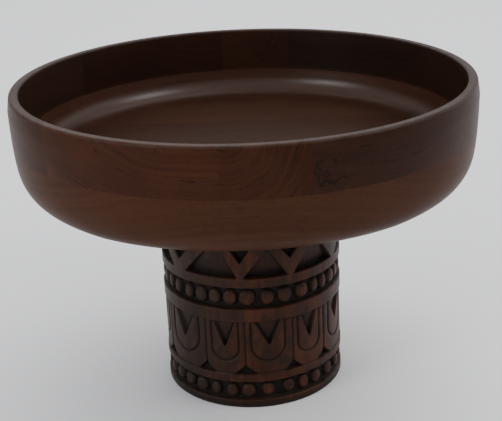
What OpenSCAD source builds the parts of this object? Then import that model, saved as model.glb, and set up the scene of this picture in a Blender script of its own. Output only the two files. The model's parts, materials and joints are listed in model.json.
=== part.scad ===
/* Turned wooden bowl on a carved, laminated pedestal. */

/* [Bowl] */
// outer radius at the fullest part of the wall
bowl_r = 177; // [172:0.5:182]
// how far the rim's outer edge sits inside the fullest radius
rim_tuck = 1.3; // [0.5:0.1:2]
// height of the bowl from its underside to the rim
bowl_h = 96; // [93:0.5:100]
// wall thickness at the rim
wall = 7.5; // [6.5:0.5:9]
// depth of the inside from the rim to the floor
bowl_depth = 58; // [54:0.5:62]
// radius of the cove between the inner wall and the floor
cove_r = 17; // [14:0.5:20]
// inward lean of the inner wall from the rim to the cove
wall_lean = 2.6; // [1:0.1:4]
// rounding of the rim's outer edge
rim_round_out = 2.2; // [1.5:0.1:3]
// rounding of the rim's inner edge
rim_round_in = 1.6; // [1:0.1:2.5]

/* [Bowl boards] */
// thickness of the upper layer, a ring of boards that run front to back
upper_h = 35.2; // [32:0.2:38]
// seam between the left end board and the wide board
seam_a = -134.6; // [-140:0.2:-128]
// seam between the wide board and the middle board
seam_b = -18.4; // [-24:0.2:-12]
// seam between the middle board and the right board
seam_c = 40.9; // [34:0.2:48]
// seam between the right board and the right end board
seam_d = 150.6; // [144:0.2:156]
// seams of the lower layer, whose boards run left to right
floor_seam_front = -84.3; // [-92:0.2:-76]
// seam near the middle of the lower layer
floor_seam_mid = -3.5; // [-8:0.2:2]
// rear seam of the lower layer
floor_seam_back = 77.3; // [70:0.2:86]

/* [Pedestal] */
// radius over the uncarved rings
stem_r = 71.3; // [69:0.1:74]
// height of the pedestal
stem_h = 151; // [146:0.5:156]
// seam between the first and second pedestal boards, counted from the left
stem_seam_1 = -46.4; // [-46.8:0.1:-46.3]
// seam between the second and third pedestal boards
stem_seam_2 = -19.7; // [-20.5:0.1:-19]
// seam between the third and fourth pedestal boards
stem_seam_3 = 5.6; // [5:0.1:6.5]
// seam between the fourth and fifth pedestal boards
stem_seam_4 = 29.7; // [29.6:0.1:30]
// seam between the fifth and sixth pedestal boards
stem_seam_5 = 53.3; // [53.3:0.1:53.6]
// chamfer round the foot
foot_chamfer = 1.2; // [0.6:0.1:2]

/* [Carved bands] */
// top of the foot lip
lip_top = 6.9; // [6:0.1:8]
// underside of the lowest plain ring
ring_3_low = 22.4; // [21:0.1:24]
// top of the lowest plain ring
ring_3_top = 29.2; // [28:0.1:31]
// underside of the middle plain ring
ring_2_low = 73.8; // [72:0.1:76]
// top of the middle plain ring
ring_2_top = 85.1; // [83:0.1:87]
// underside of the upper plain ring
ring_1_low = 101.9; // [100:0.1:104]
// top of the upper plain ring
ring_1_top = 110.5; // [109:0.1:112]
// depth of the two bead channels
channel_depth = 4.6; // [4:0.1:5.2]
// radius of the largest beads
bead_r = 5.8; // [5:0.1:6.2]
// how far the beads stop short of the plain rings
bead_short = 0.3; // [0.1:0.1:1]
// depth of the sunk fields between the chevrons
field_depth = 3.4; // [2.5:0.1:4]
// depth of the notches inside the chevrons
notch_depth = 5; // [4:0.1:6]
// depth of the cut at the top of each leaf
leaf_cut_depth = 3; // [2:0.1:4]
// depth of the line grooves on the leaves
groove_depth = 1.3; // [0.8:0.1:1.8]
// width of the line grooves on the leaves
groove_w = 1.5; // [1:0.1:2]

/* [Dowel] */
// radius of the dowel that joins the pedestal to the bowl
dowel_r = 15; // [12:0.5:18]
// how far the dowel enters each side
dowel_reach = 22; // [16:1:26]

/* [Hidden] */
$fn = 96;

dark_walnut = [0.2, 0.11, 0.07];
mid_walnut = [0.26, 0.14, 0.09];
far = 400;
total_h = stem_h + bowl_h;
rim_r = bowl_r - rim_tuck;
inner_r = rim_r - wall;
layer_z = total_h - upper_h;
floor_z = total_h - bowl_depth;
cove_x = inner_r - wall_lean - cove_r;
arc_steps = 6;
cove_steps = 14;

// outside of the bowl as [share of the height below the rim, share of the fullest radius]
wall_shape = [
    [0.110, 1.0000], [0.170, 1.0000], [0.230, 0.9990], [0.330, 0.9970], [0.400, 0.9950],
    [0.460, 0.9925], [0.520, 0.9890], [0.570, 0.9852], [0.615, 0.9795], [0.660, 0.9710],
    [0.700, 0.9600], [0.737, 0.9460], [0.770, 0.9285], [0.800, 0.9070], [0.828, 0.8820],
    [0.853, 0.8545], [0.875, 0.8255], [0.900, 0.7910], [0.924, 0.7550], [0.947, 0.7150],
    [0.966, 0.6750], [0.981, 0.6350], [0.991, 0.5950], [0.997, 0.5550], [1.000, 0.5200]
];

// points of an arc about c with radius r from angle a0 to a1
function arc(c, r, a0, a1, n) =
    [for (i = [0:n]) let (a = a0 + (a1 - a0) * i / n) [c[0] + r * cos(a), c[1] + r * sin(a)]];

// angles that share out the arc from a to b without repeating its two ends
function share(a, b, n) = [for (i = [1:n - 1]) a + (b - a) * i / n];

// where the carver set out each element, in degrees from the front, turning to the right
beads_top_front = [-64.5, -54.5, -44.8, -35, -24.9, -14.7, -3.8, 9.2, 20.7, 32.5, 43, 51.5, 62, 70];
beads_low_front = [-59.5, -49, -37.5, -27, -15.5, -4.8, 8.5, 21.7, 33, 43.7, 57, 69];
chevron_front = [-51, -6.5, 24, 61];
leaf_edge_front = [-67, -31.5, -5.8, 24.5, 50];
beads_top = concat(beads_top_front, share(70, 295.5, 21));
beads_low = concat(beads_low_front, share(69, 300.5, 20));
chevrons = concat(chevron_front, share(61, 309, 7));
leaf_edges = concat(leaf_edge_front, share(50, 293, 8));

// heights inside the chevron band
tip_half = 3;
notch_base = ring_1_top + 10.5;
notch_half = 13.5;
field_top = ring_1_top + 32;
// heights inside the leaf band
groove_low = ring_3_top + 11.5;
cut_low = ring_2_low - 19;
corner_h = 8;
corner_half = 7.5;

// ---------- shared shapes ----------

// cross-section of the whole bowl
module bowl_section() {
    outside = [for (p = wall_shape) [p[1] * bowl_r, total_h - p[0] * bowl_h]];
    rim_out = arc([rim_r - rim_round_out, total_h - rim_round_out], rim_round_out, 90, 4, arc_steps);
    rim_in = arc([inner_r + rim_round_in, total_h - rim_round_in], rim_round_in, 180, 90, arc_steps);
    cove = arc([cove_x, floor_z + cove_r], cove_r, 270, 356, cove_steps);
    polygon(concat([[0, floor_z]], cove, rim_in, rim_out, outside, [[0, stem_h]]));
}

module bowl_solid() {
    rotate_extrude()
    bowl_section();
}

// a box between two planes in x, y and z
module slab(x0, x1, y0, y1, z0, z1) {
    translate([x0, y0, z0])
    cube([x1 - x0, y1 - y0, z1 - z0]);
}

// part of the bowl's upper layer
module rim_piece(x0, x1, y0, y1) {
    intersection() {
        bowl_solid();
        slab(x0, x1, y0, y1, layer_z, total_h + 1);
    }
}

// part of the bowl's lower layer
module floor_piece(y0, y1) {
    difference() {
        intersection() {
            bowl_solid();
            slab(-far, far, y0, y1, stem_h - 1, layer_z);
        }
        dowel_bore();
    }
}

module dowel_bore() {
    translate([0, 0, stem_h - dowel_reach])
    cylinder(r = dowel_r, h = 2 * dowel_reach);
}

// cross-section of the pedestal with its two bead channels
module stem_section() {
    low_r = stem_r - channel_depth;
    polygon([
        [0, 0], [stem_r - foot_chamfer, 0], [stem_r, foot_chamfer], [stem_r, lip_top],
        [low_r, lip_top + 0.6], [low_r, ring_3_low - 0.6], [stem_r, ring_3_low],
        [stem_r, ring_2_top], [low_r, ring_2_top + 0.6], [low_r, ring_1_low - 0.6],
        [stem_r, ring_1_low], [stem_r, stem_h], [0, stem_h]
    ]);
}

// turns a shape drawn as [along the rim, height] to stand on the side at angle a, cut to a depth
module carve(a, depth) {
    intersection() {
        rotate([0, 0, a])
        translate([0, -stem_r / 2, 0])
        rotate([90, 0, 0])
        linear_extrude(height = stem_r)
        children();
        difference() {
            cylinder(r = stem_r + 2, h = stem_h + 1);
            translate([0, 0, -1])
            cylinder(r = stem_r - depth, h = stem_h + 3);
        }
    }
}

// angle from element i of a row to its nearer neighbour
function gap(row, i) =
    let (n = len(row))
    let (after = i + 1 < n ? row[i + 1] - row[i] : row[0] + 360 - row[i])
    let (before = i > 0 ? row[i] - row[i - 1] : row[0] + 360 - row[n - 1])
    min(after, before);

// domed bead i of a row at height z, smaller where its neighbours crowd it
module bead(row, i, z) {
    r = min(bead_r, 0.84 * stem_r * sin(gap(row, i) / 2));
    rise = channel_depth - bead_short;
    rotate([0, 0, row[i]])
    translate([0, channel_depth - stem_r, z])
    rotate([90, 0, 0])
    rotate_extrude()
    polygon([
        [0, -4], [r, -4], [r, 0.25 * rise], [0.94 * r, 0.55 * rise],
        [0.8 * r, 0.8 * rise], [0.5 * r, 0.96 * rise], [0, rise]
    ]);
}

// sunk field between the chevrons at angles a and b
module field_outline(a, b) {
    half = stem_r * sin((b - a) / 2) - tip_half;
    top_half = half * 0.12;
    polygon([
        [-half, ring_1_top], [half, ring_1_top],
        [top_half, field_top], [-top_half, field_top]
    ]);
}

// triangular notch above a chevron's tip
module notch_outline() {
    polygon([[0, notch_base], [notch_half, stem_h + 1], [-notch_half, stem_h + 1]]);
}

// U-shaped line groove of a leaf w wide
module u_outline(w) {
    r = w / 2;
    difference() {
        union() {
            translate([0, groove_low + r])
            circle(r = r);
            translate([-r, groove_low + r])
            square([w, ring_2_low - groove_low - r]);
        }
        translate([0, groove_low + r])
        circle(r = r - groove_w);
        translate([-r + groove_w, groove_low + r])
        square([w - 2 * groove_w, ring_2_low - groove_low - r + 1]);
    }
}

// cut at the top of a leaf w wide
module leaf_cut_outline(w) {
    half = w / 2 - groove_w - 0.8;
    polygon([[0, cut_low], [half, ring_2_low], [-half, ring_2_low]]);
}

// recess between two leaves where they meet the lowest ring
module corner_outline() {
    polygon([[-corner_half, ring_3_top], [corner_half, ring_3_top], [0, ring_3_top + corner_h]]);
}

// straight groove between two leaves
module edge_outline() {
    translate([-groove_w / 2, ring_3_top + corner_h - 1])
    square([groove_w, ring_2_low - ring_3_top - corner_h + 1]);
}

// true when something at angle a, reaching w to each side, can touch the board from x0 to x1
function near(a, w, x0, x1) = stem_r * sin(a) > x0 - w && stem_r * sin(a) < x1 + w;

// the carved cuts that fall on the board from x0 to x1
module stem_cuts(x0, x1) {
    for (i = [0:len(chevrons) - 1]) {
        a = chevrons[i];
        b = i + 1 < len(chevrons) ? chevrons[i + 1] : chevrons[0] + 360;
        if (near((a + b) / 2, 24, x0, x1)) {
            carve((a + b) / 2, field_depth)
            field_outline(a, b);
        }
        if (near(a, 15, x0, x1)) {
            carve(a, notch_depth)
            notch_outline();
        }
    }
    for (i = [0:len(leaf_edges) - 1]) {
        a = leaf_edges[i];
        b = i + 1 < len(leaf_edges) ? leaf_edges[i + 1] : leaf_edges[0] + 360;
        w = 2 * stem_r * sin((b - a) / 2) - 9;
        if (near((a + b) / 2, 18, x0, x1)) {
            carve((a + b) / 2, groove_depth)
            u_outline(w);
            carve((a + b) / 2, leaf_cut_depth)
            leaf_cut_outline(w);
        }
        if (near(a, 9, x0, x1)) {
            carve(a, notch_depth)
            corner_outline();
            carve(a, groove_depth)
            edge_outline();
        }
    }
}

// the beads that fall on the board from x0 to x1
module stem_beads(x0, x1) {
    for (i = [0:len(beads_top) - 1]) {
        if (near(beads_top[i], 8, x0, x1)) {
            bead(beads_top, i, (ring_2_top + ring_1_low) / 2);
        }
    }
    for (i = [0:len(beads_low) - 1]) {
        if (near(beads_low[i], 8, x0, x1)) {
            bead(beads_low, i, (lip_top + ring_3_low) / 2);
        }
    }
}

// one upright board of the pedestal between x0 and x1
module stem_board(x0, x1) {
    intersection() {
        difference() {
            union() {
                rotate_extrude()
                stem_section();
                stem_beads(x0, x1);
            }
            stem_cuts(x0, x1);
            dowel_bore();
        }
        slab(x0, x1, -far, far, -1, stem_h + 1);
    }
}

// ---------- the pieces ----------

module rim_left_end() {
    color(dark_walnut)
    rim_piece(-far, seam_a, -far, far);
}

module rim_front_wide() {
    color(mid_walnut)
    rim_piece(seam_a, seam_b, -far, 0);
}

module rim_front_middle() {
    color(dark_walnut)
    rim_piece(seam_b, seam_c, -far, 0);
}

module rim_front_right() {
    color(mid_walnut)
    rim_piece(seam_c, seam_d, -far, 0);
}

module rim_right_end() {
    color(dark_walnut)
    rim_piece(seam_d, far, -far, far);
}

module rim_back_right() {
    color(mid_walnut)
    rim_piece(seam_c, seam_d, 0, far);
}

module rim_back_middle() {
    color(dark_walnut)
    rim_piece(seam_b, seam_c, 0, far);
}

module rim_back_wide() {
    color(mid_walnut)
    rim_piece(seam_a, seam_b, 0, far);
}

module floor_board_front() {
    color(mid_walnut)
    floor_piece(-far, floor_seam_front);
}

module floor_board_mid_front() {
    color(dark_walnut)
    floor_piece(floor_seam_front, floor_seam_mid);
}

module floor_board_mid_back() {
    color(mid_walnut)
    floor_piece(floor_seam_mid, floor_seam_back);
}

module floor_board_back() {
    color(dark_walnut)
    floor_piece(floor_seam_back, far);
}

module stem_board_1() {
    color(dark_walnut)
    stem_board(-far, stem_seam_1);
}

module stem_board_2() {
    color(mid_walnut)
    stem_board(stem_seam_1, stem_seam_2);
}

module stem_board_3() {
    color(dark_walnut)
    stem_board(stem_seam_2, stem_seam_3);
}

module stem_board_4() {
    color(mid_walnut)
    stem_board(stem_seam_3, stem_seam_4);
}

module stem_board_5() {
    color(dark_walnut)
    stem_board(stem_seam_4, stem_seam_5);
}

module stem_board_6() {
    color(mid_walnut)
    stem_board(stem_seam_5, far);
}

module centre_dowel() {
    color(mid_walnut)
    dowel_bore();
}

rim_left_end();
rim_front_wide();
rim_front_middle();
rim_front_right();
rim_right_end();
rim_back_right();
rim_back_middle();
rim_back_wide();
floor_board_front();
floor_board_mid_front();
floor_board_mid_back();
floor_board_back();
stem_board_1();
stem_board_2();
stem_board_3();
stem_board_4();
stem_board_5();
stem_board_6();
centre_dowel();
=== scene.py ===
"""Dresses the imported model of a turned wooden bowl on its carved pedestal.

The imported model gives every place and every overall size. This script turns the bowl's boards
finely, cuts the carving into the pedestal's boards, gives each board the grain of its own tree,
and sets up a plain studio round them.
"""

from __future__ import annotations

import json
import logging
import math
from collections.abc import Iterable, Sequence
from dataclasses import dataclass, field
from enum import Enum
from typing import Any, Union

import bmesh
import bpy
import numpy as np
from mathutils import Matrix, Vector

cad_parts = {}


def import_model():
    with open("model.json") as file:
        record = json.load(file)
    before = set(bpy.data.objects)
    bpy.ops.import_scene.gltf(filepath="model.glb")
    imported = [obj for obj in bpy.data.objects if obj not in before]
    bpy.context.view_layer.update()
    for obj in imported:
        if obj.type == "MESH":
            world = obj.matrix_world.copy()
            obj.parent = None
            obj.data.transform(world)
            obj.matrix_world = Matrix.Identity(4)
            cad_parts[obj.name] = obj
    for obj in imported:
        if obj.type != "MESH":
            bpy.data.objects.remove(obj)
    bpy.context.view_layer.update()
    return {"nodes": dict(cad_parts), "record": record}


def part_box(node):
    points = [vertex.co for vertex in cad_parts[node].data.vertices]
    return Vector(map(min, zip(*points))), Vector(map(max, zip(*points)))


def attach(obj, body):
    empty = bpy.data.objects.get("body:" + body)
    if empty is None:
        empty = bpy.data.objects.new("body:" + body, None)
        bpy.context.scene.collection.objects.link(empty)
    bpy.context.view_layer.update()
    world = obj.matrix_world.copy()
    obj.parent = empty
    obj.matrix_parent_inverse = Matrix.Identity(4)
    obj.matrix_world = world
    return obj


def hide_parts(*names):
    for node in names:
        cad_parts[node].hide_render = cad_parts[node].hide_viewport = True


LOG = logging.getLogger("bowl")
MM = 0.001
UP = Vector((0.0, 0.0, 1.0))

Colour = tuple[float, float, float]
# Near-black brown painted into the carving: dark wax, and painted shade in the hollows and at the foot.
WAX_AND_SHADE: Colour = (0.0095, 0.0078, 0.0066)
OLD_WAX: Colour = (0.011, 0.0085, 0.0070)
# Greyish brown painted on the rim top: wear, and a painted sheen where the rim catches the light.
RIM_WEAR_AND_SHEEN: Colour = (0.060, 0.040, 0.032)
Number = Union[float, int, "Value"]
BMesh = bmesh.types.BMesh


# ---------------------------------------------------------------- shader building


class Value:
    """A socket that carries a number and takes part in arithmetic."""

    def __init__(self, graph: Graph, socket: bpy.types.NodeSocket) -> None:
        """Wraps one output socket of a node graph."""
        self.graph = graph
        self.socket = socket

    def __add__(self, other: Number) -> Value:
        """Adds a number or a value."""
        return self.graph.math("ADD", self, other)

    __radd__ = __add__

    def __mul__(self, other: Number) -> Value:
        """Multiplies by a number or a value."""
        return self.graph.math("MULTIPLY", self, other)

    __rmul__ = __mul__

    def __sub__(self, other: Number) -> Value:
        """Takes a number or a value away."""
        return self.graph.math("SUBTRACT", self, other)

    def __rsub__(self, other: Number) -> Value:
        """Takes this value away from a number."""
        return self.graph.math("SUBTRACT", other, self)

    def __truediv__(self, other: Number) -> Value:
        """Divides by a number or a value."""
        return self.graph.math("DIVIDE", self, other)

    def __pow__(self, other: Number) -> Value:
        """Raises to a power."""
        return self.graph.math("POWER", self, other)

    def fraction(self) -> Value:
        """Keeps what is left over the whole number below."""
        return self.graph.math("FRACT", self)

    def clamped(self) -> Value:
        """Holds the value between 0 and 1."""
        return self.graph.node("ShaderNodeClamp", inputs={"Value": self})

    def between(self, low: float, high: float) -> Value:
        """Goes smoothly from 0 at low to 1 at high; high may be the lower of the two.

        Args:
            low: where the result is 0.
            high: where the result is 1.

        Returns:
            the eased value.
        """
        settings = {"interpolation_type": "SMOOTHSTEP"}
        if low < high:
            inputs = {"Value": self, "From Min": low, "From Max": high, "To Min": 0.0, "To Max": 1.0}
        else:
            inputs = {"Value": self, "From Min": high, "From Max": low, "To Min": 1.0, "To Max": 0.0}
        return self.graph.node("ShaderNodeMapRange", settings, inputs)


class Graph:
    """Adds nodes to one material and wires them."""

    def __init__(self, material: bpy.types.Material) -> None:
        """Empties the material's node tree, ready for a new graph.

        Args:
            material: the material to fill.
        """
        material.use_nodes = True
        self.tree = material.node_tree
        self.tree.nodes.clear()

    def node(
        self, kind: str, settings: dict[str, Any] | None = None,
        inputs: dict[str | int, Any] | None = None, output: str | int = 0,
    ) -> Value:
        """Adds one node.

        Args:
            kind: the node's type name.
            settings: attributes that are set before the sockets.
            inputs: numbers, colours or values for its sockets, by name or place.
            output: which output socket to hand back.

        Returns:
            the chosen output.
        """
        made = self.tree.nodes.new(kind)
        for name, value in (settings or {}).items():
            setattr(made, name, value)
        for key, value in (inputs or {}).items():
            if isinstance(value, Value):
                self.tree.links.new(value.socket, made.inputs[key])
            else:
                made.inputs[key].default_value = value
        return Value(self, made.outputs[output])

    def math(self, operation: str, *values: Number) -> Value:
        """Adds a Math node on up to three numbers."""
        return self.node("ShaderNodeMath", {"operation": operation}, dict(enumerate(values)))

    def join(self, x: Number, y: Number, z: Number) -> Value:
        """Makes a vector of three numbers."""
        return self.node("ShaderNodeCombineXYZ", None, {0: x, 1: y, 2: z})

    def noise(self, at: Value, scale: float, detail: float = 2.0, rough: float = 0.5) -> Value:
        """Adds a noise pattern, from 0 to 1, with a scale in features a metre and finer layers."""
        inputs = {"Vector": at, "Scale": scale, "Detail": detail, "Roughness": rough}
        return self.node("ShaderNodeTexNoise", None, inputs, "Fac")

    def line_noise(self, at: Value, scale: float, detail: float = 2.0) -> Value:
        """Adds a noise pattern along one number."""
        inputs = {"W": at, "Scale": scale, "Detail": detail}
        return self.node("ShaderNodeTexNoise", {"noise_dimensions": "1D"}, inputs, "Fac")

    def mix(self, factor: Number, first: Any, second: Any, blend: str = "MIX") -> Value:
        """Mixes two colours.

        Args:
            factor: 0 for the first colour, 1 for the second.
            first: a colour or a value that carries one.
            second: a colour or a value that carries one.
            blend: the blend mode.

        Returns:
            the mixed colour.
        """
        colours = [one if isinstance(one, Value) else (*one, 1.0) for one in (first, second)]
        settings = {"data_type": "RGBA", "blend_type": blend}
        return self.node("ShaderNodeMix", settings, {0: factor, 6: colours[0], 7: colours[1]}, 2)

    def finish(self, fixed: dict[str, float], linked: dict[str, Value]) -> None:
        """Ends the graph in a Principled surface.

        Args:
            fixed: sockets that are the same all over the surface.
            linked: sockets that change over the surface.
        """
        surface = self.node("ShaderNodeBsdfPrincipled", None, {**fixed, **linked})
        output = self.tree.nodes.new("ShaderNodeOutputMaterial")
        self.tree.links.new(surface.socket, output.inputs["Surface"])


# ---------------------------------------------------------------- wood


class Grain(Enum):
    """Which way a board's fibres run."""

    LEFT_TO_RIGHT = "x"
    FRONT_TO_BACK = "y"
    UPRIGHT = "z"


@dataclass(frozen=True)
class WalnutFinish:
    """Colours and sheen of one kind of walnut board."""

    light: Colour = (0.066, 0.0225, 0.0104)
    dark: Colour = (0.021, 0.0073, 0.0040)
    streak: Colour = (0.0080, 0.0050, 0.0040)
    ring_width: float = 5.5 * MM
    ring_strength: float = 0.24
    streak_amount: float = 0.75
    figure: float = 0.0
    wander: float = 4.0 * MM
    roughness: float = 0.38
    sheen: float = 0.05
    carved: bool = False


@dataclass(frozen=True)
class Inside:
    """Where the bowl's polished inside lies: its radius, its floor and its rim."""

    radius: float
    floor: float
    top: float


@dataclass(frozen=True)
class Spot:
    """A point of a board: its place in the object, and the same across and along the grain."""

    place: Value
    x: Value
    y: Value
    z: Value
    across: Value
    up: Value
    along: Value


@dataclass
class Surface:
    """What changes over a board's surface while its material is put together."""

    colour: Value
    rough: Value
    height: Value
    coat: Value | None = None


@dataclass(frozen=True)
class Board:
    """One board: its node, its grain and where the heart of its tree lay.

    The inside shade is painted shade: how far the bowl's inside is darkened, on its floor and above the
    cove.
    The knot, where there is one, is a place in the same two coordinates as the heart.
    """

    node: str
    grain: Grain
    pith: tuple[float, float]
    finish: WalnutFinish
    seed: float
    tint: float = 1.0
    inside: Inside | None = None
    inside_shade: tuple[float, float] = (0.0, 0.0)
    knot: tuple[float, float] | None = None

    def spot(self, graph: Graph) -> Spot:
        """Finds where each point lies.

        Args:
            graph: the material's graph.

        Returns:
            the point, with two coordinates across the grain and one along it.
        """
        place = graph.node("ShaderNodeTexCoord", None, None, "Object")
        parts = graph.tree.nodes.new("ShaderNodeSeparateXYZ")
        graph.tree.links.new(place.socket, parts.inputs[0])
        x, y, z = (Value(graph, parts.outputs[axis]) for axis in range(3))
        turned_to = {
            Grain.LEFT_TO_RIGHT: (y, z, x),
            Grain.FRONT_TO_BACK: (x, z, y),
            Grain.UPRIGHT: (x, y, z),
        }
        return Spot(place, x, y, z, *turned_to[self.grain])

    def from_heart(self, graph: Graph, spot: Spot, slow: Value) -> Value:
        """Measures from the heart of the tree, with the wander that growth gives the rings.

        Args:
            graph: the material's graph.
            spot: where each point lies.
            slow: the point, drawn out along the grain.

        Returns:
            the distance.
        """
        finish = self.finish
        wave_a = graph.noise(slow, 14.0) - 0.5
        wave_b = graph.noise(slow, 60.0) - 0.5
        from_pith = (spot.across - self.pith[0]) ** 2.0 + (spot.up - self.pith[1]) ** 2.0
        radius = from_pith ** 0.5 + wave_a * (4.0 * finish.wander) + wave_b * finish.wander
        if finish.figure > 0.0:
            curled = graph.join(spot.across + self.seed, spot.up, spot.along * 0.5)
            curl = graph.noise(curled, 170.0, 3.0, 0.6) - 0.5
            patch = graph.noise(graph.join(spot.across, spot.up + self.seed, spot.along * 0.3), 26.0, 1.0)
            radius = radius + curl * patch.between(0.46, 0.60) * (finish.figure * 13.0 * MM)
        return radius

    def ink(self, graph: Graph, spot: Spot, radius: Value) -> Value:
        """Finds the dark pigment that follows some of the rings for a while, or curls at the knot.

        Args:
            graph: the material's graph.
            spot: where each point lies.
            radius: the distance from the heart of the tree.

        Returns:
            how dark each point is, from 0 to 1.
        """
        across, up, along = spot.across, spot.up, spot.along
        width = self.finish.ring_width
        place_a = graph.noise(graph.join(across + 2.0 * self.seed, up, along * 0.2), 30.0, 2.0, 0.6)
        place_b = graph.noise(graph.join(across + 3.0 * self.seed, up, along * 0.2), 95.0, 2.0, 0.6)
        line_a = graph.line_noise(radius + 3.7 + self.seed, 1.0 / (0.62 * width), 1.0)
        line_b = graph.line_noise(radius + 7.1 + self.seed, 1.0 / (0.26 * width), 1.0)
        ragged = graph.noise(graph.join(across, up, along * 0.1), 420.0, 2.0, 0.6)
        ink_a = line_a.between(0.58, 0.72) * place_a.between(0.52, 0.64) * ragged.between(0.35, 0.55)
        ink_b = line_b.between(0.52, 0.68) * place_b.between(0.50, 0.62) * ragged.between(0.62, 0.42)
        ink = (ink_a + ink_b * 0.65).clamped() * self.finish.streak_amount
        if self.knot is None:
            return ink
        wide, tall = 22.0 * MM, 13.0 * MM
        away = ((across - self.knot[0]) / wide) ** 2.0 + ((up - self.knot[1]) / tall) ** 2.0
        swirl = graph.noise(graph.join(across, up, along * 0.2), 52.0, 2.0, 0.5) - 0.5
        curls = (swirl ** 2.0).between(0.0012, 0.0002) * away.between(1.0, 0.3)
        return (ink + curls * ragged.between(0.34, 0.5) * 0.75).clamped()

    def bare_wood(self, graph: Graph, spot: Spot) -> Surface:
        """Draws the rings, the pigment, the fibres and the pores.

        Args:
            graph: the material's graph.
            spot: where each point lies.

        Returns:
            the surface of the plain board.
        """
        finish = self.finish
        across, up, along = spot.across, spot.up, spot.along
        slow = graph.join(across + self.seed, up, along * 0.16)
        radius = self.from_heart(graph, spot, slow)
        wide_band = graph.line_noise(radius + self.seed, 1.0 / (4.0 * finish.ring_width))
        thin_band = graph.line_noise(radius + 2.0 * self.seed, 1.0 / (0.55 * finish.ring_width))
        ring = (radius / finish.ring_width + wide_band * 1.5).fraction()
        late = ring ** 6.0 * graph.noise(slow, 60.0, 1.0).between(0.42, 0.66)
        fibre = graph.noise(graph.join(across, up, along * 0.03), 1500.0, 3.0, 0.6)
        pore = graph.noise(graph.join(across, up, along * 0.045), 2300.0, 1.0).between(0.58, 0.68)
        cloud = graph.noise(graph.join(across + self.seed, up, along * 0.4), 22.0, 3.0)
        tone = (
            wide_band.between(0.25, 0.75) * 0.35 + thin_band.between(0.25, 0.75) * 0.30
            + cloud.between(0.25, 0.75) * 0.35
        )
        colour = graph.mix(tone.clamped(), finish.dark, finish.light)
        colour = graph.mix(late * finish.ring_strength, colour, finish.dark)
        colour = graph.mix(((fibre - 0.5) * 1.1 + 0.22).clamped(), colour, finish.dark)
        colour = graph.mix(pore * 0.40, colour, finish.streak)
        colour = graph.mix(self.ink(graph, spot, radius), colour, finish.streak)
        if self.tint != 1.0:
            colour = graph.mix(1.0, colour, (self.tint, self.tint, self.tint), "MULTIPLY")
        rough = fibre * 0.12 + (finish.roughness - 0.06) + pore * 0.08
        return Surface(colour, rough, fibre * 0.6 - pore * 0.5)

    def wax_carving(self, graph: Graph, spot: Spot, surface: Surface) -> None:
        """Adds rubbed and stained patches, dark wax with painted shade in the recesses, painted shade low
        down at the foot, and the marks of the tools.

        Args:
            graph: the material's graph.
            spot: where each point lies.
            surface: the board's surface, which is changed.
        """
        # The recess layer gives painted shade with dark wax: darkest in notches, at the foot of fields and
        # along steep walls.
        recess = graph.node("ShaderNodeAttribute", {"attribute_name": "recess"}, None, "Fac")
        shift = self.seed * 0.01
        stained = graph.noise(graph.join(spot.x + shift, spot.y, spot.z * 0.6), 105.0, 4.0, 0.65)
        rubbed = graph.noise(graph.join(spot.x, spot.y + shift, spot.z * 0.5), 80.0, 3.0, 0.6)
        wax = graph.noise(spot.place, 300.0, 3.0, 0.6)
        # Painted shade: the band at the foot of the pedestal is darkened towards the floor.
        foot = spot.z.between(7.5 * MM, 3.5 * MM) * 0.75
        wax_and_shade_fill = (recess * 1.15 + (wax - 0.5) * 0.5 * recess + foot).clamped()
        colour = graph.mix(rubbed.between(0.50, 0.66) * 0.55, surface.colour, self.finish.light)
        colour = graph.mix(stained.between(0.44, 0.64) * 0.62, colour, OLD_WAX)
        surface.colour = graph.mix(wax_and_shade_fill, colour, WAX_AND_SHADE)
        surface.rough = surface.rough + recess * 0.25
        surface.height = surface.height + graph.noise(spot.place, 260.0) * 3.0

    def polish_inside(self, graph: Graph, spot: Spot, surface: Surface, inside: Inside) -> None:
        """Paints shade into the bowl's inside, gives the cove its shine and paints the rim with wear and a
        grey painted sheen.

        Args:
            graph: the material's graph.
            spot: where each point lies.
            surface: the board's surface, which is changed.
            inside: where the bowl's inside lies.
        """
        z = spot.z
        out = (spot.x ** 2.0 + spot.y ** 2.0) ** 0.5
        within = out.between(inside.radius + 1.5 * MM, inside.radius + 0.3 * MM)
        within = within * z.between(inside.floor - 2.0 * MM, inside.floor - 1.0 * MM)
        lifted = z.between(inside.floor + 0.5 * MM, inside.floor + 7.0 * MM)
        polished = lifted * z.between(inside.floor + 27.0 * MM, inside.floor + 17.0 * MM)
        rim = z.between(inside.top - 2.2 * MM, inside.top - 0.6 * MM)
        rubbed = graph.noise(spot.place, 120.0, 2.0, 0.6).between(0.2, 0.6)
        # Painted shade: the bowl's inside is darkened towards the streak colour, by one amount on the flat
        # floor and another above it.
        painted_shade = lifted * (self.inside_shade[1] - self.inside_shade[0]) + self.inside_shade[0]
        colour = graph.mix(within * painted_shade, surface.colour, self.finish.streak)
        # Painted sheen with wear: the rim top is greyed in rubbed patches.
        surface.colour = graph.mix(rim * rubbed * 0.35, colour, RIM_WEAR_AND_SHEEN)
        surface.rough = surface.rough + within * (1.0 - lifted) * 0.14
        surface.coat = (within * polished * 0.60 + rim * 0.05).clamped()

    def material(self) -> bpy.types.Material:
        """Makes the board's wood.

        Returns:
            the material.
        """
        made = bpy.data.materials.new(f"walnut_{self.node}")
        graph = Graph(made)
        spot = self.spot(graph)
        surface = self.bare_wood(graph, spot)
        if self.finish.carved:
            self.wax_carving(graph, spot, surface)
        if self.inside is not None:
            self.polish_inside(graph, spot, surface, self.inside)
        bump = {"Strength": 0.22, "Distance": 0.25 * MM, "Height": surface.height}
        normal = graph.node("ShaderNodeBump", None, bump)
        inputs = {"Base Color": surface.colour, "Roughness": surface.rough, "Normal": normal}
        if surface.coat is not None:
            inputs["Coat Weight"] = surface.coat
        fixed = {"Specular IOR Level": self.finish.sheen, "IOR": 1.5, "Coat Roughness": 0.33}
        graph.finish(fixed, inputs)
        return made


# ---------------------------------------------------------------- mesh helpers


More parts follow.
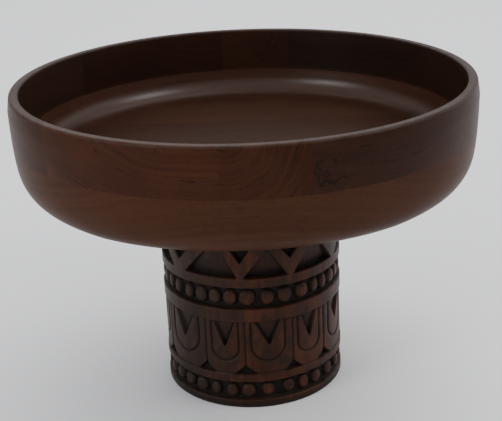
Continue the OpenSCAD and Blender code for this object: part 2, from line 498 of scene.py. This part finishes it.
def smooth_curve(points: Sequence[tuple[float, float]], steps: int) -> list[tuple[float, float]]:
    """Runs a smooth curve through a few points.

    Args:
        points: the points that the curve passes.
        steps: how many pieces each stretch is cut into.

    Returns:
        points along the curve, both ends included.
    """
    padded = [Vector(point) for point in (points[0], *points, points[-1])]
    curve = []
    for before, start, end, after in zip(padded, padded[1:], padded[2:], padded[3:]):
        bend = 2.0 * before - 5.0 * start + 4.0 * end - after
        twist = 3.0 * start - before - 3.0 * end + after
        for step in range(steps):
            t = step / steps
            curve.append(tuple(0.5 * (2.0 * start + (end - before) * t + bend * t**2 + twist * t**3)))
    return [*curve, points[-1]]


def arc(
    centre: tuple[float, float], radius: float, start: float, end: float, steps: int
) -> list[tuple[float, float]]:
    """Lists points along an arc between two angles in degrees, both ends included."""
    angles = [math.radians(start + (end - start) * step / steps) for step in range(steps + 1)]
    return [(centre[0] + radius * math.cos(a), centre[1] + radius * math.sin(a)) for a in angles]


def turned(outline: Sequence[tuple[float, float]], steps: int) -> BMesh:
    """Turns an outline about the upright axis.

    Args:
        outline: radius and height of each point, in order.
        steps: how many pieces the full turn is cut into.

    Returns:
        the turned surface.
    """
    bm = bmesh.new()
    verts = [bm.verts.new((0.0, -radius, height)) for radius, height in outline]
    edges = [bm.edges.new(pair) for pair in zip(verts, verts[1:])]
    bmesh.ops.spin(
        bm, geom=[*verts, *edges], cent=(0, 0, 0), axis=UP, angle=2.0 * math.pi, steps=steps, use_merge=True
    )
    bmesh.ops.remove_doubles(bm, verts=bm.verts[:], dist=1e-6)
    return bm


def cut_away(bm: BMesh, at: Vector, facing: Vector, ring: bool = False) -> None:
    """Saws off the side that a plane faces, and closes the cut.

    Args:
        bm: the solid, which is changed.
        at: a point on the plane.
        facing: the plane's normal, towards the waste.
        ring: true when the cut is a ring between two loops.
    """
    geometry = [*bm.verts, *bm.edges, *bm.faces]
    done = bmesh.ops.bisect_plane(
        bm, geom=geometry, dist=1e-7, plane_co=at, plane_no=facing, clear_outer=True
    )
    edges = [item for item in done["geom_cut"] if isinstance(item, bmesh.types.BMEdge)]
    if not edges:
        return
    if ring:
        faces = bmesh.ops.bridge_loops(bm, edges=edges)["faces"]
    else:
        faces = bmesh.ops.holes_fill(bm, edges=edges, sides=0)["faces"]
    for face in faces:
        face.smooth = False
    for edge in edges:
        edge.smooth = False


def slab(bm: BMesh, axis: int, low: float | None, high: float | None, ring: bool = False) -> None:
    """Keeps what lies between two planes across one axis.

    Args:
        bm: the solid, which is changed.
        axis: 0, 1 or 2 for x, y or z.
        low: the lower plane, or None.
        high: the upper plane, or None.
        ring: true when the cuts are rings between two loops.
    """
    direction = Vector([1.0 if place == axis else 0.0 for place in range(3)])
    if high is not None:
        cut_away(bm, direction * high, direction, ring)
    if low is not None:
        cut_away(bm, direction * low, -direction, ring)


def finish_piece(bm: BMesh, board: Board) -> None:
    """Makes an object of a mesh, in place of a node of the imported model.

    Args:
        bm: the board's mesh, which is freed.
        board: the board that it shows.
    """
    bmesh.ops.recalc_face_normals(bm, faces=bm.faces[:])
    name = f"{board.node}_wood"
    mesh = bpy.data.meshes.new(name)
    bm.to_mesh(mesh)
    bm.free()
    mesh.materials.append(board.material())
    piece = bpy.data.objects.new(name, mesh)
    bpy.context.scene.collection.objects.link(piece)
    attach(piece, "root")
    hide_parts(board.node)
    triangles = sum(len(polygon.vertices) - 2 for polygon in mesh.polygons)
    LOG.info("%s: %d triangles", name, triangles)


# ---------------------------------------------------------------- the bowl


@dataclass
class TurnedBowl:
    """The bowl: an upper ring of boards on a lower layer, turned as one."""

    stem_top: float
    rim_top: float
    fullest: float
    layer: float
    ring_seams: tuple[float, float, float, float]
    floor_seams: tuple[float, float, float]
    rim_tuck: float = 1.3 * MM
    wall: float = 7.5 * MM
    lean: float = 2.6 * MM
    depth: float = 58.0 * MM
    cove: float = 17.0 * MM
    round_out: float = 2.2 * MM
    round_in: float = 1.6 * MM
    sanded: float = 1.9 * MM
    steps: int = 720
    wall_shape: tuple[tuple[float, float], ...] = (
        (0.110, 1.0000), (0.230, 0.9990), (0.330, 0.9970), (0.400, 0.9950), (0.460, 0.9925),
        (0.520, 0.9890), (0.570, 0.9852), (0.615, 0.9795), (0.660, 0.9710), (0.700, 0.9600),
        (0.737, 0.9460), (0.770, 0.9285), (0.800, 0.9070), (0.828, 0.8820), (0.853, 0.8545),
        (0.875, 0.8255), (0.900, 0.7910), (0.924, 0.7550), (0.947, 0.7150), (0.966, 0.6750),
        (0.981, 0.6350), (0.991, 0.5950), (0.997, 0.5550), (1.000, 0.5200),
    )

    @classmethod
    def from_frame(cls) -> TurnedBowl:
        """Reads the bowl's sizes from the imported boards."""
        low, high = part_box("rim_front_wide")
        middle_low, middle_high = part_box("rim_front_middle")
        right_low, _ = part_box("rim_right_end")
        floor_low, floor_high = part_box("floor_board_mid_front")
        return cls(
            stem_top=floor_low.z,
            rim_top=high.z,
            fullest=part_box("rim_right_end")[1].x,
            layer=low.z,
            ring_seams=(low.x, middle_low.x, middle_high.x, right_low.x),
            floor_seams=(floor_low.y, floor_high.y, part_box("floor_board_back")[0].y),
        )

    def inside(self) -> Inside:
        """Says where the bowl's inside lies."""
        inner = self.fullest - self.rim_tuck - self.wall
        return Inside(inner + self.round_in, self.rim_top - self.depth, self.rim_top)

    def outline(self) -> list[tuple[float, float]]:
        """Draws the bowl's section from the middle of its underside to the middle of its floor.

        Returns:
            radius and height of each point.
        """
        height = self.rim_top - self.stem_top
        shares = [(share * self.fullest, self.rim_top - drop * height) for drop, share in self.wall_shape]
        rim = self.fullest - self.rim_tuck
        inner = rim - self.wall
        floor = self.rim_top - self.depth
        cove_centre = (inner - self.lean - self.cove, floor + self.cove)
        outer_centre = (rim - self.round_out, self.rim_top - self.round_out)
        inner_centre = (inner + self.round_in, self.rim_top - self.round_in)
        foot = [(self.fullest * share, self.stem_top) for share in (0.0, 0.14, 0.28, 0.42)]
        outside = smooth_curve(shares, 3)[::-1]
        rim_out = arc(outer_centre, self.round_out, 4.0, 90.0, 7)
        rim_in = arc(inner_centre, self.round_in, 90.0, 180.0, 6)
        cove = arc(cove_centre, self.cove, -4.0, -90.0, 18)
        top, bottom = Vector(rim_in[-1]), Vector(cove[0])
        wall_in = [tuple(top.lerp(bottom, share)) for share in (0.25, 0.5, 0.75)]
        floor_points = [(cove_centre[0] * share, floor) for share in (0.8, 0.6, 0.4, 0.2, 0.0)]
        return [*foot, *outside, *rim_out, *rim_in, *wall_in, *cove, *floor_points]

    def solid(self) -> BMesh:
        """Turns the whole bowl in one piece.

        Returns:
            the closed solid.
        """
        bm = turned(self.outline(), self.steps)
        for face in bm.faces:
            face.smooth = True
        self.sand_flat(bm)
        return bm

    def sand_flat(self, bm: BMesh) -> None:
        """Sands the turn of the underside a little flatter at the front and the back.

        Args:
            bm: the turned bowl, which is changed.
        """
        inside = self.inside()
        for vert in bm.verts:
            radius = math.hypot(vert.co.x, vert.co.y)
            if vert.co.z > inside.floor - 1.0 * MM and radius < inside.radius:
                continue
            out = eased(radius / self.fullest - 0.58, 0.16)
            low = eased(self.rim_top - 59.0 * MM - vert.co.z, 28.0 * MM)
            if out * low > 0.0:
                facing = max(0.0, ((vert.co.y / radius) ** 2 - 0.6) / 0.4)
                vert.co.z += self.sanded * facing * float(out * low)

    def build(self, boards: dict[str, Board], slots: dict[str, str]) -> None:
        """Saws the turned bowl into its boards and dresses them.

        Args:
            boards: the wood of each node.
            slots: the material slot of each node; not used.
        """
        a, b, c, d = self.ring_seams
        upper = self.solid()
        lower = upper.copy()
        slab(upper, 2, self.layer, None, ring=True)
        slab(lower, 2, None, self.layer, ring=True)
        ring_cuts = {
            "rim_left_end": (None, a, None, None),
            "rim_front_wide": (a, b, None, 0.0),
            "rim_front_middle": (b, c, None, 0.0),
            "rim_front_right": (c, d, None, 0.0),
            "rim_right_end": (d, None, None, None),
            "rim_back_right": (c, d, 0.0, None),
            "rim_back_middle": (b, c, 0.0, None),
            "rim_back_wide": (a, b, 0.0, None),
        }
        for node, (left, right, front, back) in ring_cuts.items():
            piece = upper.copy()
            slab(piece, 1, front, back)
            slab(piece, 0, left, right)
            finish_piece(piece, boards[node])
        front, middle, back = self.floor_seams
        floor_cuts = {
            "floor_board_front": (None, front),
            "floor_board_mid_front": (front, middle),
            "floor_board_mid_back": (middle, back),
            "floor_board_back": (back, None),
        }
        for node, (near, far) in floor_cuts.items():
            piece = lower.copy()
            slab(piece, 1, near, far)
            finish_piece(piece, boards[node])
        upper.free()
        lower.free()


# ---------------------------------------------------------------- the carved pedestal


def eased(distance: np.ndarray | float, width: float) -> np.ndarray:
    """Goes smoothly from 0 outside a line to 1 inside it, over a width."""
    t = np.clip(distance / width + 0.5, 0.0, 1.0)
    return t * t * (3.0 - 2.0 * t)


def wobble(angle: np.ndarray, seed: float) -> np.ndarray:
    """Wanders gently round the pedestal, as a line drawn by hand does.

    Args:
        angle: degrees round the pedestal.
        seed: picks one of many such lines.

    Returns:
        the offset, mostly within 1 either way.
    """
    turn = np.radians(angle)
    total = np.zeros_like(turn)
    for waves, share in ((3, 0.4), (7, 0.35), (13, 0.3), (23, 0.22), (41, 0.12)):
        total += share * np.sin(waves * turn + seed * (1.7 + waves))
    return total


@dataclass(frozen=True)
class Bead:
    """A domed bead: its angle and half its width, in degrees."""

    angle: float
    half: float


@dataclass(frozen=True)
class Chevron:
    """One raised V: its tip, the slopes of its outer edges, and the notch inside it.

    Angles are in degrees; slopes are across over up; the notch's rise is in millimetres.
    """

    angle: float
    tip_half: float
    left_slope: float
    right_slope: float
    notch_shift: float
    notch_rise: float
    notch_slope: float


@dataclass(frozen=True)
class Leaf:
    """One leaf: its middle, half the width of its line groove, and the cut at its top.

    Angles are in degrees; the other sizes are in millimetres.
    """

    angle: float
    half: float
    cut_shift: float
    cut_half: float
    cut_low: float


def spaced(first: float, last: float, count: int) -> list[float]:
    """Shares out the arc between two angles, without its ends."""
    return [first + (last - first) * step / count for step in range(1, count)]


@dataclass
class CarvedStem:
    """The pedestal: upright boards, turned to a drum and carved in bands. Sizes in millimetres."""

    radius: float
    height: float
    seams: tuple[float, ...]
    lip_top: float = 6.9
    ring_3: tuple[float, float] = (22.4, 29.2)
    ring_2: tuple[float, float] = (73.9, 85.1)
    ring_1: tuple[float, float] = (101.9, 110.5)
    channel: float = 4.9
    steps: int = 900
    row_height: float = 0.52

    @classmethod
    def from_frame(cls) -> CarvedStem:
        """Reads the pedestal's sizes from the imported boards."""
        _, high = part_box("stem_board_3")
        seams = [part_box(f"stem_board_{number}")[1].x / MM for number in range(1, 6)]
        return cls(radius=high.y / MM, height=high.z / MM, seams=tuple(seams))

    def top_beads(self) -> list[Bead]:
        """Lists the beads of the upper row, as the carver spaced them."""
        seen = [
            (-64.8, 3.2), (-55.3, 3.3), (-44.5, 3.6), (-34.9, 4.6), (-24.9, 4.4), (-14.9, 4.6), (-3.8, 5.5),
            (9.1, 4.6), (20.7, 5.0), (32.8, 4.8), (43.4, 3.3), (51.7, 3.3), (61.5, 4.3), (71.5, 4.5),
        ]
        rest = [(angle, 4.5) for angle in spaced(71.5, 295.2, 21)]
        return [Bead(*pair) for pair in (*seen, *rest)]

    def low_beads(self) -> list[Bead]:
        """Lists the beads of the lower row."""
        seen = [
            (-60.2, 4.7), (-48.8, 4.7), (-37.9, 4.6), (-27.1, 3.6), (-15.9, 4.1), (-5.1, 4.6),
            (7.7, 4.5), (21.6, 4.1), (32.6, 3.5), (43.4, 4.4), (56.8, 4.3), (69.5, 4.3),
        ]
        rest = [(angle, 4.4) for angle in spaced(69.5, 299.8, 20)]
        return [Bead(*pair) for pair in (*seen, *rest)]

    def chevrons(self) -> list[Chevron]:
        """Lists the raised V shapes under the bowl."""
        seen = [
            Chevron(-50.7, 7.6, 0.80, 0.93, 0.0, 7.9, 0.98),
            Chevron(-7.4, 2.9, 0.50, 0.76, 0.3, 12.2, 0.65),
            Chevron(24.4, 2.9, 0.68, 0.66, -0.3, 13.5, 0.86),
            Chevron(62.5, 4.0, 0.82, 0.75, 0.0, 12.0, 0.80),
        ]
        rest = [
            Chevron(angle, 3.6, 0.70 + 0.06 * (step % 3), 0.78 - 0.05 * (step % 2), 0.0, 12.0, 0.75)
            for step, angle in enumerate(spaced(62.5, 309.3, 7))
        ]
        return [*seen, *rest]

    def leaf_edges(self) -> list[float]:
        """Lists the angles of the lines between the leaves."""
        return [-67.0, -32.0, -6.0, 24.7, 50.3, *spaced(50.3, 293.0, 8)]

    def leaves(self) -> list[Leaf]:
        """Lists the leaves, as the carver spaced them."""
        seen = [
            Leaf(-49.7, 12.3, -0.4, 10.6, 52.6), Leaf(-19.0, 8.9, 0.0, 8.6, 53.0),
            Leaf(8.6, 10.9, 1.2, 10.4, 53.8), Leaf(37.1, 8.7, 0.2, 7.4, 53.6),
            Leaf(65.6, 9.6, 0.0, 9.0, 55.5),
        ]
        edges = self.leaf_edges()
        rest = []
        for step, (start, end) in enumerate(zip(edges[5:], [*edges[6:], edges[0] + 360.0])):
            half = (end - start) / 2.0
            rest.append(Leaf((start + end) / 2.0, half - 4.6, 0.4 * (step % 3 - 1), 8.6, 53.0 + step % 2))
        return [*seen, *rest]

    def across(self, angle: np.ndarray, centre: float) -> np.ndarray:
        """Measures along the surface from one angle, in millimetres to the right of it."""
        return np.radians((angle - centre + 180.0) % 360.0 - 180.0) * self.radius

    def carve_beads(
        self, angle: np.ndarray, height: np.ndarray, low: float, high: float, beads: list[Bead], seed: float
    ) -> tuple[np.ndarray, np.ndarray]:
        """Carves a sunk channel with a row of domed beads.

        Args:
            angle: degrees of each point.
            height: height of each point.
            low: the channel's lower edge.
            high: the channel's upper edge.
            beads: the beads.
            seed: picks the wander of the edges.

        Returns:
            the depth of each point and how far it lies in shade.
        """
        below = height - (low + 0.35 * wobble(angle, seed))
        above = (high + 0.35 * wobble(angle, seed + 1.0)) - height
        sunk = eased(np.minimum(below, above), 1.1)
        middle = (low + high) / 2.0
        half_height = (high - low) / 2.0 - 1.75
        power = 2.15
        rise = np.zeros_like(angle)
        for number, bead in enumerate(beads):
            sideways = self.across(angle, bead.angle)
            half = math.radians(bead.half) * self.radius * 1.04
            lift = 0.35 * math.sin(5.1 * number + seed)
            tall = half_height + 0.3 * math.sin(2.3 * number + seed)
            upward = height - middle - lift
            size = (np.abs(sideways / half) ** power + np.abs(upward / tall) ** power) ** (1.0 / power)
            slant = 0.05 * math.sin(3.7 * number + seed) * sideways
            dome = np.clip(1.0 - size ** 3.4, 0.0, 1.0) ** 0.48
            rise = np.maximum(rise, dome * (self.channel - 0.7 + slant - 0.25 * math.cos(number * 1.9)))
        depth = sunk * (self.channel - rise)
        shade = sunk * np.clip((self.channel - rise) / self.channel * 1.35 - 0.22, 0.0, 1.0)
        return depth, shade

    def carve_chevrons(self, angle: np.ndarray, height: np.ndarray) -> tuple[np.ndarray, np.ndarray]:
        """Carves the sunk fields and notches that leave a band of raised V shapes.

        Args:
            angle: degrees of each point.
            height: height of each point.

        Returns:
            the depth of each point and how far it lies in shade.
        """
        chevrons = self.chevrons()
        base = self.ring_1[1] + 0.25 * wobble(angle, 5.0)
        up = height - base
        depth = np.zeros_like(angle)
        shade = np.zeros_like(angle)
        for number, chevron in enumerate(chevrons):
            after = chevrons[(number + 1) % len(chevrons)]
            from_left = self.across(angle, chevron.angle) - chevron.tip_half - chevron.right_slope * up
            from_right = -self.across(angle, after.angle) - after.tip_half - after.left_slope * up
            span = math.radians((after.angle - chevron.angle) % 360.0) * self.radius
            tall = (span - chevron.tip_half - after.tip_half) / (chevron.right_slope + after.left_slope)
            left_edge = from_left / math.hypot(1.0, chevron.right_slope)
            right_edge = from_right / math.hypot(1.0, after.left_slope)
            inside = np.minimum(np.minimum(left_edge, right_edge), up)
            mask = eased(inside, 0.9)
            low_share = np.clip(1.0 - up / tall, 0.0, 1.0)
            floor = 1.5 + 4.3 * low_share ** 1.6
            depth = np.maximum(depth, mask * floor)
            foot_line = np.exp(-np.clip(up, 0.0, None) / 1.6)
            side_line = np.exp(-np.clip(np.minimum(left_edge, right_edge), 0.0, None) / 0.9)
            dark = 0.18 + 0.35 * low_share + foot_line + 0.55 * side_line
            shade = np.maximum(shade, mask * np.clip(dark, 0.0, 1.0))
            sideways = self.across(angle, chevron.angle) - chevron.notch_shift
            rise = up - chevron.notch_rise
            cut = (chevron.notch_slope * rise - np.abs(sideways)) / math.hypot(1.0, chevron.notch_slope)
            notch = eased(cut, 0.9)
            depth = np.maximum(depth, notch * (4.2 + 0.06 * np.clip(rise, 0.0, 40.0)))
            shade = np.maximum(shade, notch)
        return depth, shade

    def carve_leaves(self, angle: np.ndarray, height: np.ndarray) -> tuple[np.ndarray, np.ndarray]:
        """Carves the row of leaves between the middle and the lowest ring.

        Args:
            angle: degrees of each point.
            height: height of each point.

        Returns:
            the depth of each point and how far it lies in shade.
        """
        low, high = self.ring_3[1], self.ring_2[0]
        below = height - (low + 0.3 * wobble(angle, 7.0))
        above = (high + 0.3 * wobble(angle, 8.0)) - height
        band = eased(np.minimum(below, above), 1.0)
        depth = 0.55 * band
        shade = np.zeros_like(angle)
        for edge in (below, above):
            line = band * np.exp(-((edge - 0.5) / 0.55) ** 2)
            depth = depth + 0.5 * line
            shade = np.maximum(shade, 0.6 * line)
        for number, leaf in enumerate(self.leaves()):
            sideways = self.across(angle, leaf.angle)
            near = np.abs(sideways) < 30.0
            side, tall = sideways[near], height[near]
            half = math.radians(leaf.half) * self.radius
            foot = low + 11.3 + 0.4 * math.sin(3.0 * number)
            bowl = np.hypot(side, np.minimum(tall - foot - half, 0.0)) - half
            line = np.exp(-((bowl / 0.75) ** 2)) * band[near]
            inner = np.exp(np.minimum(bowl, 0.0) / 1.6) * (bowl < 0.0)
            outer = np.exp(-np.maximum(bowl, 0.0) / 1.2) * (bowl >= 0.0)
            leaf_depth = 1.15 * line + 0.45 * (inner + outer) * band[near]
            share = np.clip((tall - leaf.cut_low) / (high - leaf.cut_low), 0.0, 1.0)
            width = leaf.cut_half * share ** 0.9
            edge = (width - np.abs(side - leaf.cut_shift * (1.0 - share))) * 0.86
            edge = np.where(tall > leaf.cut_low, edge, -2.0)
            cut = eased(edge, 0.8) * band[near]
            slope = 1.3 + 2.3 * (1.0 - share) + 1.5 * np.exp(-np.clip(edge, 0.0, None) / 1.2)
            leaf_depth = np.maximum(leaf_depth, cut * slope)
            dark = 0.25 + 0.55 * (1.0 - share) + 0.7 * np.exp(-np.clip(edge, 0.0, None) / 1.1)
            leaf_shade = np.maximum(0.85 * line, cut * np.clip(dark, 0.0, 1.0))
            depth[near] = depth[near] + leaf_depth
            shade[near] = np.maximum(shade[near], leaf_shade)
        for number, place in enumerate(self.leaf_edges()):
            sideways = self.across(angle, place) + 0.3 * wobble(height * 9.0, number)
            corner_top = low + 8.6
            line = np.exp(-((sideways / 0.62) ** 2)) * band * eased(height - corner_top, 1.0)
            depth = depth + 1.15 * line
            shade = np.maximum(shade, 0.75 * line)
            share = np.clip((height - low) / (corner_top - low), 0.0, 1.0)
            width = (8.8 + 0.5 * math.sin(4.0 * number)) * (1.0 - share) ** 1.2
            corner = eased((width - np.abs(sideways)) * 0.8, 0.8) * band * (height < corner_top + 0.5)
            depth = np.maximum(depth, corner * 4.4)
            shade = np.maximum(shade, corner)
        return depth, shade

    def carve(self, bm: BMesh) -> None:
        """Cuts the carving into the turned drum and stores on each point how dark its recess is painted, as
        dark wax and painted shade.

        Args:
            bm: the drum, which is changed.
        """
        places = np.array([vert.co[:] for vert in bm.verts]) / MM
        angle = np.degrees(np.arctan2(places[:, 0], -places[:, 1]))
        height = places[:, 2]
        depth = np.clip(1.2 - height, 0.0, None)
        shade = np.zeros_like(depth)
        for found in (
            self.carve_beads(angle, height, self.ring_2[1], self.ring_1[0], self.top_beads(), 1.0),
            self.carve_beads(angle, height, self.lip_top, self.ring_3[0], self.low_beads(), 3.0),
            self.carve_chevrons(angle, height),
            self.carve_leaves(angle, height),
        ):
            depth = np.maximum(depth, found[0])
            shade = np.maximum(shade, found[1])
        hand = 0.10 * wobble(angle + 2.1 * height, 2.0) * wobble(4.0 * height - angle, 6.0)
        depth = np.clip(depth + 0.12 + hand, 0.02, None)
        keep = (self.radius - depth) / self.radius
        # The recess layer stores the painted shade of each hollow, which the material paints as dark wax
        # and shade.
        layer = bm.verts.layers.float.new("recess")
        for vert, scale, dark in zip(bm.verts, keep.tolist(), shade.tolist()):
            vert.co.x *= scale
            vert.co.y *= scale
            vert[layer] = dark

    def drum(self) -> BMesh:
        """Turns and carves the whole pedestal in one piece.

        Returns:
            the closed solid.
        """
        stops = [0.0, 1.2, self.lip_top, *self.ring_3, *self.ring_2, *self.ring_1, self.height]
        levels = [stops[0]]
        for start, end in zip(stops, stops[1:]):
            rows = max(2, round((end - start) / self.row_height))
            levels += [start + (end - start) * row / rows for row in range(1, rows + 1)]
        outline = [(self.radius * MM, level * MM) for level in levels]
        bm = turned(outline, self.steps)
        self.carve(bm)
        for face in bm.faces:
            face.smooth = True
        ends = [edge for edge in bm.edges if edge.is_boundary]
        for face in bmesh.ops.holes_fill(bm, edges=ends, sides=0)["faces"]:
            face.smooth = False
        for edge in ends:
            edge.smooth = False
        return bm

    def build(self, boards: dict[str, Board], slots: dict[str, str]) -> None:
        """Parts the carved drum at its glue lines and dresses the boards.

        Args:
            boards: the wood of each node.
            slots: the material slot of each node; not used.
        """
        rest = self.drum()
        for number, seam in enumerate(self.seams, start=1):
            piece = rest.copy()
            slab(piece, 0, None, seam * MM)
            slab(rest, 0, seam * MM, None)
            finish_piece(piece, boards[f"stem_board_{number}"])
        finish_piece(rest, boards[f"stem_board_{len(self.seams) + 1}"])


# ---------------------------------------------------------------- choice of boards


RED = WalnutFinish()
BROWN = WalnutFinish(light=(0.052, 0.0215, 0.0120), dark=(0.021, 0.0088, 0.0052), streak_amount=0.5,
                     sheen=0.038)
FIGURED = WalnutFinish(light=(0.041, 0.0168, 0.0095), dark=(0.017, 0.0070, 0.0043), figure=1.0)
FLOOR = WalnutFinish(light=(0.067, 0.0276, 0.0148), dark=(0.036, 0.0147, 0.0083), streak_amount=0.3,
                     sheen=0.031)
CARVED_RED = WalnutFinish(light=(0.078, 0.0225, 0.0082), dark=(0.019, 0.0068, 0.0036), streak_amount=0.3,
                          ring_strength=0.25, carved=True, roughness=0.42, sheen=0.12)
CARVED_GREY = WalnutFinish(light=(0.043, 0.0180, 0.0095), dark=(0.016, 0.0070, 0.0043), streak_amount=0.3,
                           ring_strength=0.25, carved=True, roughness=0.42, sheen=0.12)


def choose_boards(top: float, layer: float, inside: Inside) -> dict[str, Board]:
    """Picks the wood of every board.

    Args:
        top: the height of the rim.
        layer: the height of the glue line between the bowl's two layers.
        inside: where the bowl's inside lies.

    Returns:
        the board of each node.
    """
    along_y, along_x, upright = Grain.FRONT_TO_BACK, Grain.LEFT_TO_RIGHT, Grain.UPRIGHT
    middle = (-0.012, top + 0.006)
    wide = (-0.030, top + 0.110)
    right = (0.085, top + 0.150)
    # Painted shade inside the bowl: the rim boards are darkened on the whole inside, the floor boards on
    # their flat floor only.
    painted_shade, floor_shade = (0.5, 0.5), (0.35, 0.0)
    chosen = [
        Board("rim_left_end", along_y, (-0.100, top + 0.150), BROWN, 1.3, 1.15, inside, painted_shade),
        Board("rim_front_wide", along_y, wide, RED, 2.1, 1.0, inside, painted_shade),
        Board("rim_back_wide", along_y, wide, RED, 2.1, 0.8, inside, painted_shade),
        Board("rim_front_middle", along_y, middle, RED, 3.4, 0.9, inside, painted_shade),
        Board("rim_back_middle", along_y, middle, RED, 3.4, 1.0, inside, painted_shade),
        Board("rim_front_right", along_y, right, FIGURED, 4.2, 1.0, inside, painted_shade, (0.050, top - 0.022)),
        Board("rim_back_right", along_y, right, FIGURED, 4.2, 1.0, inside, painted_shade),
        Board("rim_right_end", along_y, (0.240, top + 0.080), BROWN, 5.7, 0.9, inside, painted_shade),
        Board("floor_board_front", along_x, (-0.090, layer + 0.120), FLOOR, 6.2, 1.0, inside, floor_shade),
        Board("floor_board_mid_front", along_x, (-0.030, layer - 0.220), FLOOR, 7.9, 1.0, inside, floor_shade),
        Board("floor_board_mid_back", along_x, (0.060, layer - 0.160), FLOOR, 8.8, 0.93, inside, floor_shade),
        Board("floor_board_back", along_x, (0.110, layer + 0.150), FLOOR, 9.5, 1.0, inside, floor_shade),
        Board("stem_board_1", upright, (-0.030, -0.120), CARVED_GREY, 10.1),
        Board("stem_board_2", upright, (-0.110, -0.020), CARVED_GREY, 11.6),
        Board("stem_board_3", upright, (0.060, 0.050), CARVED_RED, 12.9),
        Board("stem_board_4", upright, (-0.050, 0.080), CARVED_RED, 13.3, 0.9),
        Board("stem_board_5", upright, (0.120, 0.040), CARVED_RED, 14.8),
        Board("stem_board_6", upright, (0.020, -0.060), CARVED_RED, 15.5, 0.92),
        Board("centre_dowel", upright, (0.004, 0.003), FLOOR, 16.4),
    ]
    return {board.node: board for board in chosen}


# ---------------------------------------------------------------- studio


@dataclass(frozen=True)
class Softbox:
    """A soft light: where it stands, what it points at, its size and its power."""

    name: str
    place: tuple[float, float, float]
    target: tuple[float, float, float]
    size: tuple[float, float]
    power: float
    colour: Colour = (1.0, 1.0, 1.0)

    def build(self) -> None:
        """Adds the light to the scene."""
        light = bpy.data.lights.new(self.name, "AREA")
        light.shape = "RECTANGLE"
        light.size, light.size_y = self.size
        light.energy = self.power
        light.color = self.colour
        lamp = bpy.data.objects.new(self.name, light)
        lamp.location = self.place
        aim = Vector(self.target) - Vector(self.place)
        lamp.rotation_euler = aim.to_track_quat("-Z", "Y").to_euler()
        bpy.context.scene.collection.objects.link(lamp)


@dataclass
class Studio:
    """The plain floor, the soft lights and the camera."""

    rim_top: float
    unit: float
    floor_colour: Colour = (0.80, 0.805, 0.82)
    surround: Colour = (0.955, 0.97, 1.0)
    surround_strength: float = 0.80
    softboxes: list[Softbox] = field(
        default_factory=lambda: [
            Softbox("overhead", (0.15, 1.15, 2.6), (0.10, 1.05, 0.0), (2.8, 1.9), 46.0),
            Softbox("back", (0.0, 3.2, 2.2), (0.0, 0.9, 0.0), (3.4, 1.2), 25.0),
            Softbox("right", (2.6, 1.2, 0.85), (0.0, 0.4, 0.0), (4.0, 1.6), 17.5),
            Softbox("front_right", (1.12, -0.46, 1.25), (0.0, 0.0, 0.2), (0.55, 0.55), 9.0),
            Softbox("front_left", (-1.10, -0.82, 0.66), (0.0, 0.0, 0.2), (0.55, 0.50), 8.0),
        ]
    )

    def floor(self) -> None:
        """Lays a wide pale floor under the object."""
        bm = bmesh.new()
        bmesh.ops.create_grid(bm, x_segments=1, y_segments=1, size=6.0)
        mesh = bpy.data.meshes.new("studio_floor")
        bm.to_mesh(mesh)
        bm.free()
        material = bpy.data.materials.new("pale_floor")
        graph = Graph(material)
        place = graph.node("ShaderNodeTexCoord", None, None, "Object")
        grain = graph.noise(place, 3.0, 2.0)
        low = tuple(channel * 0.98 for channel in self.floor_colour)
        colour = graph.mix(grain, low, self.floor_colour)
        graph.finish({"Roughness": 0.75, "Specular IOR Level": 0.3}, {"Base Color": colour})
        mesh.materials.append(material)
        floor = bpy.data.objects.new("studio_floor", mesh)
        bpy.context.scene.collection.objects.link(floor)

    def air(self) -> None:
        """Sets the even light that comes from all round."""
        world = bpy.data.worlds.new("studio_air")
        world.use_nodes = True
        background = world.node_tree.nodes["Background"]
        background.inputs["Color"].default_value = (*self.surround, 1.0)
        background.inputs["Strength"].default_value = self.surround_strength
        bpy.context.scene.world = world

    def camera(self) -> None:
        """Places the camera a little above the rim, looking down on the front."""
        lens = bpy.data.cameras.new("camera")
        lens.sensor_width = 36.0
        lens.lens = 80.2
        lens.shift_x = -0.034
        lens.shift_y = 0.008
        camera = bpy.data.objects.new("camera", lens)
        place = Vector((0.0, -4.7234 * self.unit, self.rim_top + 1.1825 * self.unit))
        turn = Matrix.Rotation(math.radians(-1.03), 4, "Z")
        tip = Matrix.Rotation(math.radians(90.0 - 21.16), 4, "X")
        roll = Matrix.Rotation(math.radians(-2.07), 4, "Z")
        camera.matrix_world = Matrix.Translation(place) @ turn @ tip @ roll
        bpy.context.scene.collection.objects.link(camera)
        bpy.context.scene.camera = camera

    def build(self) -> None:
        """Sets up the whole studio."""
        self.floor()
        self.air()
        self.camera()
        for softbox in self.softboxes:
            softbox.build()


# ---------------------------------------------------------------- putting it together


def main() -> None:
    """Builds the bowl, the pedestal and the studio."""
    logging.basicConfig(level=logging.INFO, format="%(name)s: %(message)s")
    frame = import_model()
    slots = {part["node"]: part["material_slot"] for part in frame["record"]["subparts"]}
    bowl = TurnedBowl.from_frame()
    stem = CarvedStem.from_frame()
    boards = choose_boards(bowl.rim_top, bowl.layer, bowl.inside())
    Studio(rim_top=bowl.rim_top, unit=bowl.fullest - bowl.rim_tuck).build()
    bowl.build(boards, slots)
    stem.build(boards, slots)
    dowel = frame["nodes"]["centre_dowel"]
    dowel.data.materials.clear()
    dowel.data.materials.append(boards["centre_dowel"].material())


if __name__ == "__main__":
    main()
